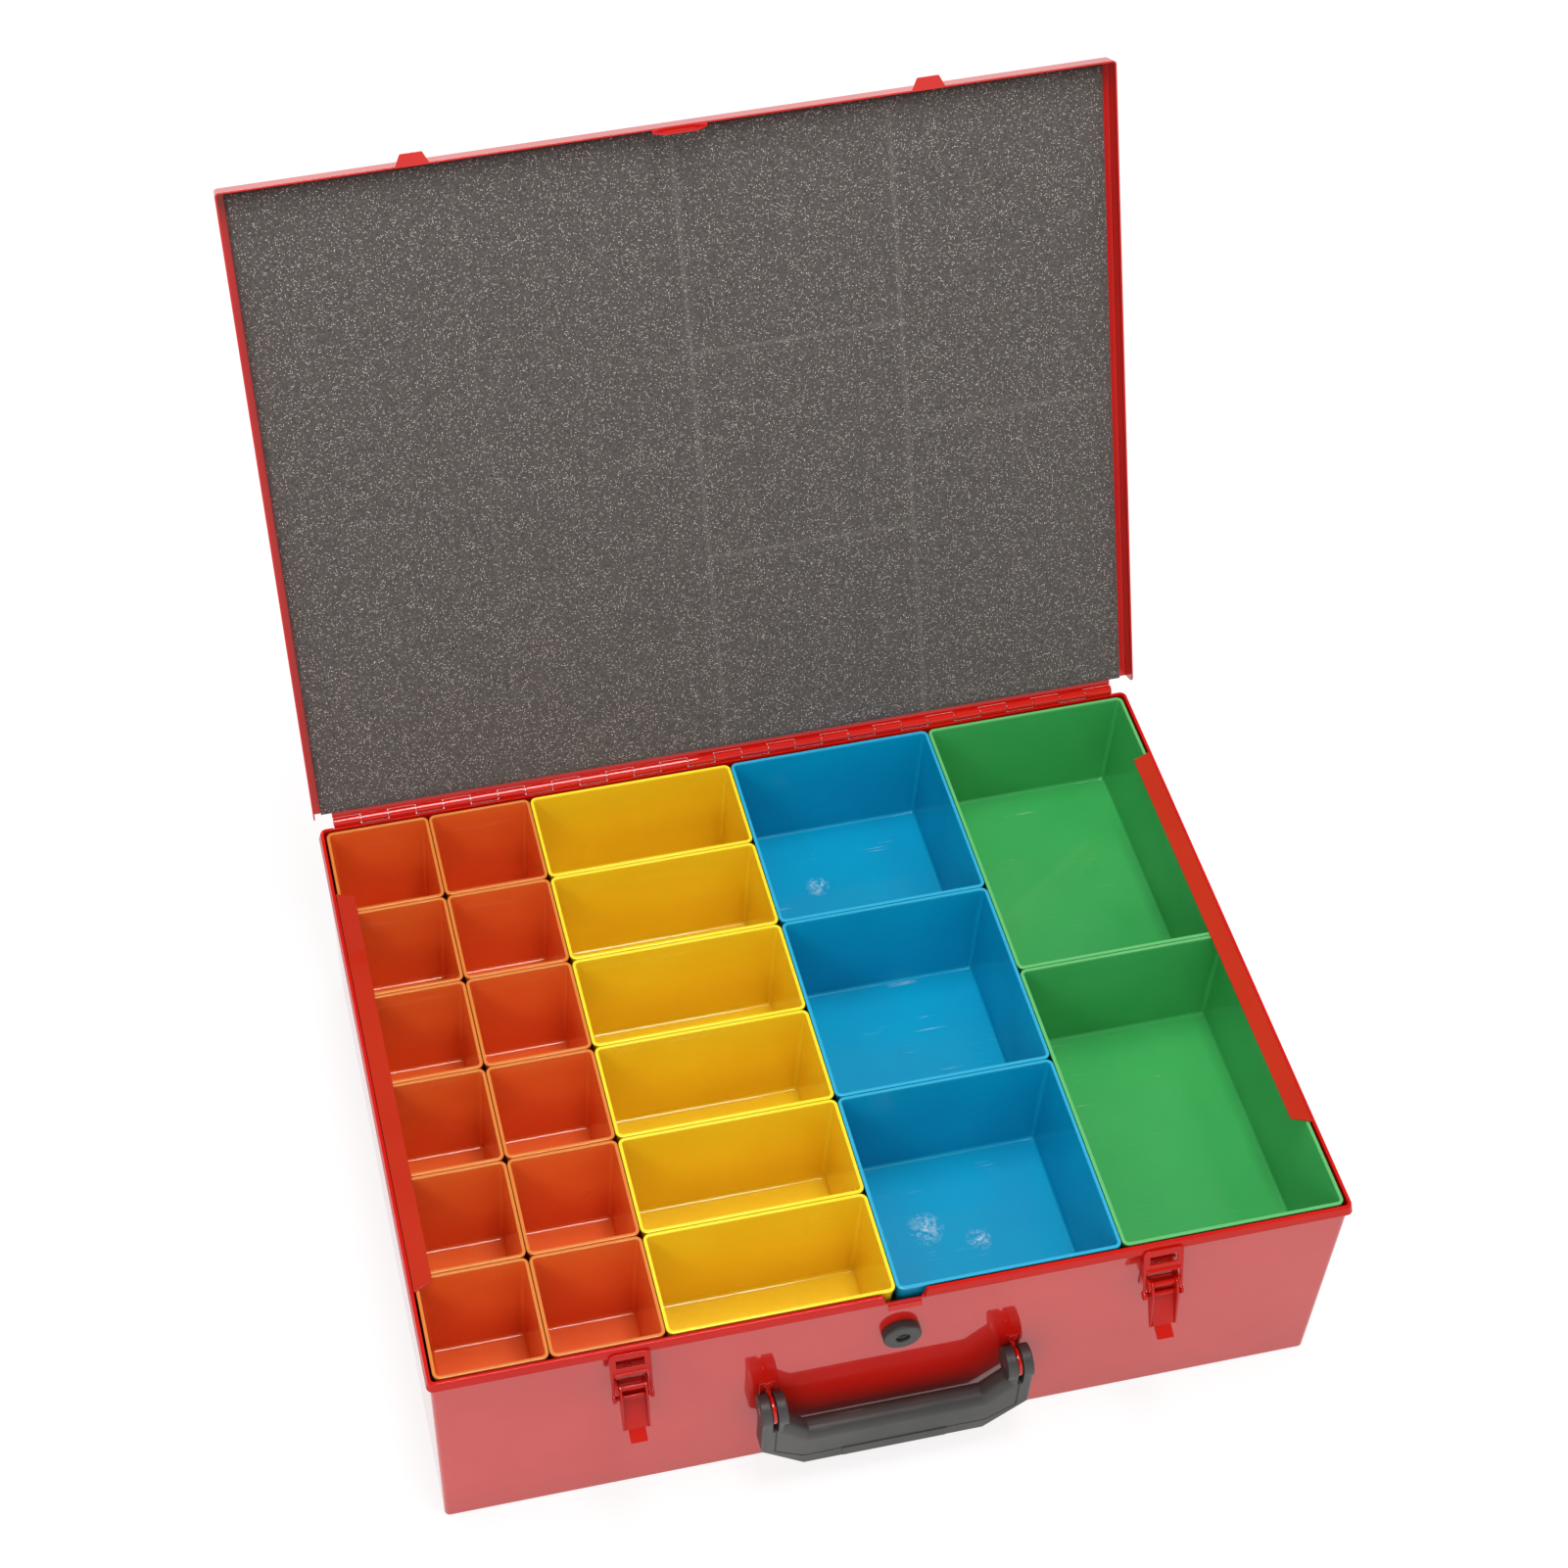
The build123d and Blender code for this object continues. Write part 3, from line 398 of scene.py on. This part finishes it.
step = 0.002
xs = np.linspace(-FOAM_HALF, FOAM_HALF, int(2 * FOAM_HALF / step) + 1)
us = np.linspace(FOAM_NEAR, FOAM_FAR, int((FOAM_FAR - FOAM_NEAR) / step) + 1)
grid_x, grid_u = np.meshgrid(xs, us)
edge = np.minimum(np.minimum(FOAM_HALF - np.abs(grid_x), grid_u - FOAM_NEAR), FOAM_FAR - grid_u)
soft = np.clip(1 - edge / FOAM_SOFT, 0, 1) ** 2 * ROLL_DEPTH
pressed = press(grid_x, grid_u)
print("liner points:", grid_x.size, "with", int((pressed > 0.5).sum()), "deeply pressed")


# %% The liner's sheet
def in_scene(name, data):
    """A new object in the scene."""
    item = bpy.data.objects.new(name, data)
    bpy.context.scene.collection.objects.link(item)
    return item


wave = WAVE_HEIGHT * np.sin(grid_x * WAVES_ACROSS) * np.sin(grid_u * WAVES_ALONG + WAVE_START)
face = FOAM_FACE + FOAM_LIFT + soft + PRESS_DEPTH * pressed + wave * (edge > FLAT_FROM)
front = HINGE + grid_u[..., None] * ALONG + face[..., None] * OUT
front[..., 0] = grid_x
over_leaf = (grid_u < LEAF_END) & (np.abs(grid_x) < LEAF_HALF)
behind = np.where(over_leaf, LEAF_BACK, FOAM_BACK)
rear = HINGE + grid_u[..., None] * ALONG + behind[..., None] * OUT
rear[..., 0] = grid_x
number = np.arange(grid_x.size).reshape(grid_x.shape)
ring = np.concatenate([number[0, :-1], number[:-1, -1], number[-1, :0:-1], number[:0:-1, 0]])
quads = np.stack([number[:-1, :-1], number[:-1, 1:], number[1:, 1:], number[1:, :-1]], -1)
quads = quads.reshape(-1, 4)
far = grid_x.size
walls = np.stack([ring, far + ring, far + np.roll(ring, -1), np.roll(ring, -1)], -1)
corners = np.concatenate([front.reshape(-1, 3), rear.reshape(-1, 3)])
faces = np.concatenate([quads, far + quads[:, ::-1], walls]).tolist()
foam_mesh = bpy.data.meshes.new("foam liner")
foam_mesh.from_pydata(corners.tolist(), [], faces)
foam_mesh.validate()
foam_mesh.update()
attribute = foam_mesh.attributes.new("pressed", "FLOAT", "POINT")
values = np.zeros(len(foam_mesh.vertices), np.float32)
values[: pressed.size] = pressed.reshape(-1)
attribute.data.foreach_set("value", values)
foam_mesh.polygons.foreach_set("use_smooth", [True] * len(foam_mesh.polygons))
foam = in_scene("foam_liner", foam_mesh)
print("foam liner:", len(foam_mesh.polygons), "faces")


# %% The liner's finish
def foam_finish():
    """Grey open foam: dark pores, pale and coloured flecks, paler where the rims press."""
    material = bpy.data.materials.new("Foam")
    tree = emptied(material)
    where = add(tree, "ShaderNodeTexCoord")
    fine = add(tree, "ShaderNodeTexNoise", at={
        "Vector": where.outputs["Object"], "Scale": 900.0, "Detail": 3.0, "Roughness": 0.7})
    specks = add(tree, "ShaderNodeTexVoronoi", at={
        "Vector": where.outputs["Object"], "Scale": 1250.0, "Randomness": 1.0})
    near = ranged(tree, specks.outputs["Distance"], 0.20, 0.34, 1.0, 0.0)
    parts = add(tree, "ShaderNodeSeparateColor", at={"Color": specks.outputs["Color"]})
    few = worked(tree, "GREATER_THAN", parts.outputs[0], 0.64)
    tone = ranged(tree, fine.outputs[0], 0.3, 0.7)
    body = mixed(tree, tone, srgb(60, 56, 54), srgb(104, 99, 95))
    tint = mixed(tree, 0.32, srgb(230, 225, 220), specks.outputs["Color"])
    flecked = mixed(tree, worked(tree, "MULTIPLY", near, few), body, tint)
    mark = add(tree, "ShaderNodeAttribute", attribute_name="pressed")
    paler = worked(tree, "MULTIPLY", mark.outputs["Fac"], 0.16)
    colour = mixed(tree, paler, flecked, srgb(150, 144, 140))
    bump = add(tree, "ShaderNodeBump", at={
        "Strength": 1.0, "Distance": 0.0004, "Height": fine.outputs[0]})
    shader = add(tree, "ShaderNodeBsdfPrincipled", at={
        "Base Color": colour, "Roughness": 0.95, "Normal": bump.outputs[0],
        "Specular IOR Level": 0.15, "Sheen Weight": 0.2})
    add(tree, "ShaderNodeOutputMaterial", at={"Surface": shader.outputs[0]})
    return material


foam_mesh.materials.append(foam_finish())
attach(foam, "lid")
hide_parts("lid_foam")
print("the liner wears", foam_mesh.materials[0].name, "and rides on the lid")


# %% [markdown]
# ## The rivets
# Rivets hold the latch bases and the handle's blades on the front wall. They are all alike and
# only their places repeat, so one Geometry Nodes tree makes a rivet from named sizes and puts
# it on every point it is given. Copies of a hand made rivet would work too, but the tree keeps
# the sizes in one place. The head is the upper half of a flattened ball.

# %% One rivet
def rivet_tree(material):
    tree = bpy.data.node_groups.new("Rivets", "GeometryNodeTree")
    panel = tree.interface
    panel.new_socket("Geometry", in_out="INPUT", socket_type="NodeSocketGeometry")
    for label in ("Head radius", "Head height", "Shank radius", "Seat", "Wall"):
        panel.new_socket(label, in_out="INPUT", socket_type="NodeSocketFloat")
    panel.new_socket("Geometry", in_out="OUTPUT", socket_type="NodeSocketGeometry")
    size = add(tree, "NodeGroupInput").outputs
    ball = add(tree, "GeometryNodeMeshUVSphere", at={"Segments": 32, "Rings": 16, "Radius": 1.0})
    where = add(tree, "GeometryNodeInputPosition")
    place = add(tree, "ShaderNodeSeparateXYZ", at={0: where.outputs[0]})
    lower = add(tree, "FunctionNodeCompare", data_type="FLOAT", operation="LESS_THAN", at={
        0: place.outputs["Z"], 1: -0.01})
    dome = add(tree, "GeometryNodeDeleteGeometry", domain="POINT", at={
        "Geometry": ball.outputs["Mesh"], "Selection": lower.outputs[0]})
    closed = add(tree, "GeometryNodeConvexHull", at={"Geometry": dome.outputs[0]})
    head_size = add(tree, "ShaderNodeCombineXYZ", at={
        0: size["Head radius"], 1: size["Head radius"], 2: size["Head height"]})
    head_place = add(tree, "ShaderNodeCombineXYZ", at={2: size["Seat"]})
    head = add(tree, "GeometryNodeTransform", at={
        "Geometry": closed.outputs[0], "Scale": head_size.outputs[0],
        "Translation": head_place.outputs[0]})
    length = worked(tree, "ADD", size["Wall"], size["Seat"])
    middle = worked(tree, "MULTIPLY", worked(tree, "SUBTRACT", size["Seat"], size["Wall"]), 0.5)
    rod = add(tree, "GeometryNodeMeshCylinder", at={
        "Vertices": 24, "Radius": size["Shank radius"], "Depth": length})
    rod_place = add(tree, "ShaderNodeCombineXYZ", at={2: middle})
    shank = add(tree, "GeometryNodeTransform", at={
        "Geometry": rod.outputs["Mesh"], "Translation": rod_place.outputs[0]})
    rivet = add(tree, "GeometryNodeJoinGeometry")
    tree.links.new(head.outputs[0], rivet.inputs[0])
    tree.links.new(shank.outputs[0], rivet.inputs[0])
    spread = add(tree, "GeometryNodeInstanceOnPoints", at={
        "Points": size["Geometry"], "Instance": rivet.outputs[0],
        "Rotation": (math.pi / 2, 0.0, 0.0)})
    real = add(tree, "GeometryNodeRealizeInstances", at={0: spread.outputs[0]})
    painted = add(tree, "GeometryNodeSetMaterial", at={
        "Geometry": real.outputs[0], "Material": material})
    add(tree, "NodeGroupOutput", at={0: painted.outputs[0]})
    return tree


RIVETS = rivet_tree(FINISH["latch_paint"])
print("rivet tree:", len(RIVETS.nodes), "nodes")

# %% Rivets in place
WALL_FRONT, RIM_Z = -0.1638, 0.1321
LATCH_X, LATCH_DROPS, LATCH_SEAT = 0.1265, (0.016, 0.0295), 0.0010
BLADE_X, BLADE_DROPS, BLADE_SEAT = 0.05975, (0.0602, 0.0748), 0.0012
SHARP_FROM = math.radians(40)


def grown(name, points, faces, tree, sizes):
    """One plain mesh grown by a Geometry Nodes tree from these points and named sizes."""
    mesh = bpy.data.meshes.new(name)
    mesh.from_pydata(points, [], faces)
    item = in_scene(name, mesh)
    modifier = item.modifiers.new(tree.name, "NODES")
    modifier.node_group = tree
    for socket in tree.interface.items_tree:
        if socket.in_out == "INPUT" and socket.name in sizes:
            modifier[socket.identifier] = sizes[socket.name]
    depsgraph = bpy.context.evaluated_depsgraph_get()
    baked = bpy.data.meshes.new_from_object(item.evaluated_get(depsgraph))
    item.modifiers.remove(modifier)
    item.data = baked
    baked.polygons.foreach_set("use_smooth", [True] * len(baked.polygons))
    baked.set_sharp_from_angle(angle=SHARP_FROM)
    return item


def rivets(name, x, drops, seat):
    """A rivet at each drop below the rim on both sides, seated on a sheet's face."""
    points = [(side * x, WALL_FRONT, RIM_Z - drop) for side in (-1, 1) for drop in drops]
    sizes = {"Head radius": 0.0022, "Head height": 0.0008, "Shank radius": 0.0012,
             "Seat": seat, "Wall": 0.0008}
    return grown(name, points, [], RIVETS, sizes)


for name, x, drops, seat in (("latch_rivets", LATCH_X, LATCH_DROPS, LATCH_SEAT),
                             ("handle_rivets", BLADE_X, BLADE_DROPS, BLADE_SEAT)):
    item = rivets("domed_" + name, x, drops, seat)
    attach(item, "case")
    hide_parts(name)
    print(item.name, len(item.data.polygons), "faces")


# %% [markdown]
# ## The hinge
# A continuous hinge is two long leaves whose rolled knuckles take turns along one pin. The CAD
# leaves have square slots with room to turn, which look wide from here. On the real hinge the
# slots hug the knuckles. So each leaf is made again: a comb shaped sheet with tight slots, and
# knuckles from a tree that turns a small square round a circle and repeats it along the pin.

# %% The knuckles
def knuckle_tree(material):
    tree = bpy.data.node_groups.new("Knuckles", "GeometryNodeTree")
    panel = tree.interface
    panel.new_socket("Geometry", in_out="INPUT", socket_type="NodeSocketGeometry")
    for label in ("Radius", "Bore radius", "Length", "Pitch", "First"):
        panel.new_socket(label, in_out="INPUT", socket_type="NodeSocketFloat")
    panel.new_socket("Count", in_out="INPUT", socket_type="NodeSocketInt")
    panel.new_socket("Geometry", in_out="OUTPUT", socket_type="NodeSocketGeometry")
    size = add(tree, "NodeGroupInput").outputs
    both = worked(tree, "ADD", size["Radius"], size["Bore radius"])
    middle = worked(tree, "MULTIPLY", both, 0.5)
    wall = worked(tree, "SUBTRACT", size["Radius"], size["Bore radius"])
    circle = add(tree, "GeometryNodeCurvePrimitiveCircle", at={
        "Resolution": 40, "Radius": middle})
    section = add(tree, "GeometryNodeCurvePrimitiveQuadrilateral", at={
        "Width": wall, "Height": size["Length"]})
    tube = add(tree, "GeometryNodeCurveToMesh", at={
        "Curve": circle.outputs["Curve"], "Profile Curve": section.outputs["Curve"]})
    start = add(tree, "ShaderNodeCombineXYZ", at={
        0: size["First"], 1: AXIS_Y, 2: AXIS_Z})
    step_x = add(tree, "ShaderNodeCombineXYZ", at={0: size["Pitch"]})
    line = add(tree, "GeometryNodeMeshLine", at={
        "Count": size["Count"], "Start Location": start.outputs[0],
        "Offset": step_x.outputs[0]})
    spread = add(tree, "GeometryNodeInstanceOnPoints", at={
        "Points": line.outputs[0], "Instance": tube.outputs[0],
        "Rotation": (0.0, math.pi / 2, 0.0)})
    both_parts = add(tree, "GeometryNodeJoinGeometry")
    tree.links.new(size["Geometry"], both_parts.inputs[0])
    tree.links.new(spread.outputs[0], both_parts.inputs[0])
    real = add(tree, "GeometryNodeRealizeInstances", at={0: both_parts.outputs[0]})
    painted = add(tree, "GeometryNodeSetMaterial", at={
        "Geometry": real.outputs[0], "Material": material})
    add(tree, "NodeGroupOutput", at={0: painted.outputs[0]})
    return tree


KNUCKLE_TREE = knuckle_tree(FINISH["red_paint"])
print("knuckle tree:", len(KNUCKLE_TREE.nodes), "nodes")

# %% The leaves
HINGE_HALF, KNUCKLES, KNUCKLE_GAP = 0.211, 29, 0.0004
KNUCKLE, KNUCKLE_BORE, LEAF_SHEET, SLOT_START = 0.00245, 0.00155, 0.0009, 0.00205
PITCH = 2 * HINGE_HALF / KNUCKLES
CASE_LEAF, LID_LEAF = 0.014, 0.022


def comb(first, width, along, out):
    """The sheet of a leaf, with a slot wherever the other leaf has a knuckle."""
    outline = []
    for number in range(KNUCKLES):
        own = number % 2 == first
        reach = 0.0 if own else SLOT_START
        widen = -KNUCKLE_GAP / 2 if own else KNUCKLE_GAP / 2
        left = -HINGE_HALF + number * PITCH - widen
        right = left + PITCH + 2 * widen
        outline += [(max(left, -HINGE_HALF), reach), (min(right, HINGE_HALF), reach)]
    outline += [(HINGE_HALF, width), (-HINGE_HALF, width)]
    points = []
    for depth in (KNUCKLE - LEAF_SHEET, KNUCKLE):
        for x, reach in outline:
            points.append(tuple(Vector((x, AXIS_Y, AXIS_Z)) + reach * along + depth * out))
    count = len(outline)
    sides = [(i, (i + 1) % count, count + (i + 1) % count, count + i) for i in range(count)]
    return points, [tuple(range(count))[::-1], tuple(range(count, 2 * count))] + sides


down, forward = Vector((0.0, 0.0, -1.0)), Vector((0.0, -1.0, 0.0))
leaves = (("hinge_leaf_case", "case", 0, CASE_LEAF, down, forward),
          ("hinge_leaf_lid", "lid", 1, LID_LEAF, Vector(ALONG), Vector(OUT)))
for name, body, first, width, along, out in leaves:
    points, faces = comb(first, width, along, out)
    sizes = {"Radius": KNUCKLE, "Bore radius": KNUCKLE_BORE, "Length": PITCH - KNUCKLE_GAP,
             "Pitch": 2 * PITCH, "First": -HINGE_HALF + (first + 0.5) * PITCH,
             "Count": (KNUCKLES + 1 - first) // 2}
    item = grown("rolled_" + name, points, faces, KNUCKLE_TREE, sizes)
    turned = bmesh.new()
    turned.from_mesh(item.data)
    bmesh.ops.recalc_face_normals(turned, faces=turned.faces)
    turned.to_mesh(item.data)
    turned.free()
    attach(item, body)
    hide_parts(name)
    print(item.name, len(item.data.polygons), "faces")


# %% [markdown]
# ## Floor and light
# The case stands on a plain white ground. A brighter light could wash the ground out, but it
# would wash out the paint too. So the ground's own material is white to the camera and to
# mirrors, and keeps a part of its shading there, so that the case's shadow still lies on it.
# The world is white round the horizon and dim overhead, as in a room with a dark ceiling, so
# that upright paint mirrors white and level faces keep their full colour. A long lamp above
# draws a bright line along each inner edge of the bins, and a soft one fills the front.

# %% The floor
def seen_directly(tree):
    """1 for rays from the camera or off a mirror or through glass, and 0 for the rest."""
    rays = add(tree, "ShaderNodeLightPath").outputs
    first = worked(tree, "MAXIMUM", rays["Is Camera Ray"], rays["Is Glossy Ray"])
    return worked(tree, "MAXIMUM", first, rays["Is Transmission Ray"])


FLOOR_HALF, FLOOR_DROP = 6.0, 0.0002
WHITE = (1.0, 1.0, 1.0, 1.0)
floor_mesh = bpy.data.meshes.new("floor")
square = [(-1, -1), (1, -1), (1, 1), (-1, 1)]
floor_mesh.from_pydata(
    [(x * FLOOR_HALF, y * FLOOR_HALF, 0) for x, y in square], [], [(0, 1, 2, 3)])
floor = in_scene("floor", floor_mesh)
floor.location = (0, 0, -FLOOR_DROP)
white = bpy.data.materials.new("White floor")
tree = emptied(white)
pale = add(tree, "ShaderNodeBsdfDiffuse", at={"Color": (0.86, 0.86, 0.86, 1.0)})
shaded = add(tree, "ShaderNodeBsdfDiffuse", at={"Color": (0.26, 0.26, 0.26, 1.0)})
glow = add(tree, "ShaderNodeEmission", at={"Color": WHITE, "Strength": 0.8})
ground = add(tree, "ShaderNodeAddShader", at={0: glow.outputs[0], 1: shaded.outputs[0]})
pick = add(tree, "ShaderNodeMixShader", at={
    0: seen_directly(tree), 1: pale.outputs[0], 2: ground.outputs[0]})
add(tree, "ShaderNodeOutputMaterial", at={"Surface": pick.outputs[0]})
floor_mesh.materials.append(white)
print("floor:", 2 * FLOOR_HALF, "m wide")

# %% The world
world = bpy.data.worlds.new("Studio")
bpy.context.scene.world = world
tree = emptied(world)
sky = add(tree, "ShaderNodeBackground", at={"Color": WHITE, "Strength": 0.68})
where = add(tree, "ShaderNodeTexCoord")
height = add(tree, "ShaderNodeSeparateXYZ", at={0: where.outputs["Generated"]})
ceiling = add(tree, "ShaderNodeMapRange", interpolation_type="SMOOTHSTEP", at={
    "Value": height.outputs["Z"], "From Min": 0.25, "From Max": 0.75,
    "To Min": 1.0, "To Max": 0.12})
back = add(tree, "ShaderNodeBackground", at={"Color": WHITE, "Strength": ceiling.outputs[0]})
pick = add(tree, "ShaderNodeMixShader", at={
    0: seen_directly(tree), 1: sky.outputs[0], 2: back.outputs[0]})
add(tree, "ShaderNodeOutputWorld", at={"Surface": pick.outputs[0]})
print("world:", world.name)


# %% The lamps
def lamp(name, place, size, power):
    """A soft rectangular lamp that points at the case."""
    light = bpy.data.lights.new(name, "AREA")
    light.shape = "RECTANGLE"
    light.size, light.size_y = size
    light.energy = power
    item = in_scene(name, light)
    item.location = place
    item.rotation_euler = (Vector(place) - Vector(AIM)).to_track_quat("Z", "Y").to_euler()
    return item


AIM = (0.0, 0.0, 0.1)
key = lamp("key", place=(0.05, 0.0, 2.1), size=(1.2, 0.5), power=24.0)
fill = lamp("fill", place=(-0.9, -1.5, 1.3), size=(0.5, 0.5), power=6.0)
print("lamps:", key.name, key.data.energy, "W and", fill.name, fill.data.energy, "W")


# %% [markdown]
# ## Camera and render settings
# The view is from above and to the left of the front, with the whole case in the picture. Its
# place, turn and lens could be set by eye, but the bins stand on an even grid, so they were
# worked out from how that grid looks in the picture. The small shift comes from the crop.

# %% Camera
camera_data = bpy.data.cameras.new("camera")
camera_data.sensor_width = 36.0
camera_data.lens = 66.81
camera_data.shift_x = 0.1501
camera_data.shift_y = -0.0046
camera_data.clip_end = 30.0
camera = in_scene("camera", camera_data)
camera.location = (-0.25997, -0.79959, 1.30657)
camera.rotation_euler = (0.698779, 0.0265525, -0.1994639)
bpy.context.scene.camera = camera
bpy.context.scene.view_settings.view_transform = "Standard"
bpy.context.scene.view_settings.look = "None"
print("camera at", tuple(round(value, 3) for value in camera.location))
